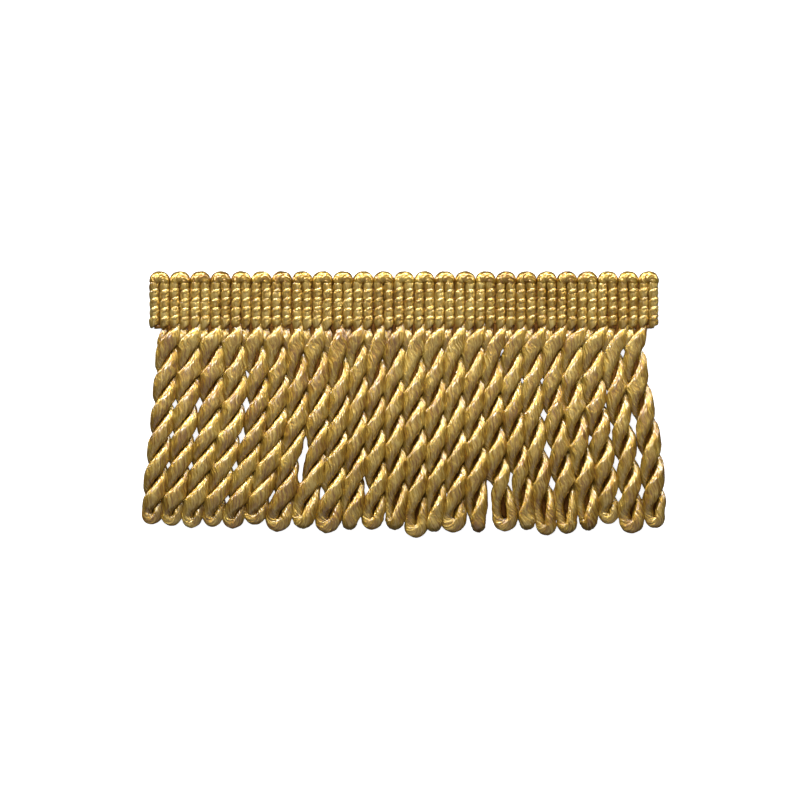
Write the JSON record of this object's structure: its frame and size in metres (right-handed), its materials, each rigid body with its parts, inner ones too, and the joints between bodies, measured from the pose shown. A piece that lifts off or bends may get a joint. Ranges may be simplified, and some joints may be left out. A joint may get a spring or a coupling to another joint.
{
  "type": "cord fringe trim",
  "caption": "Cut length of bullion fringe: a narrow stitched heading with a looped upper edge and a skirt of twisted cords, lying flat.",
  "frame": {"origin": "middle of the heading's flat back, on the surface that the trim lies on", "axes": "+X along the trim, +Y from the skirt towards the heading's looped edge, +Z out of the face"},
  "size_m": [0.1329, 0.0678, 0.0051],
  "materials": {
    "heading": "satin",
    "cord": "satin"
  },
  "bodies": {
    "root": {"heading": "heading", "fringe": "cord"}
  },
  "joints": []
}
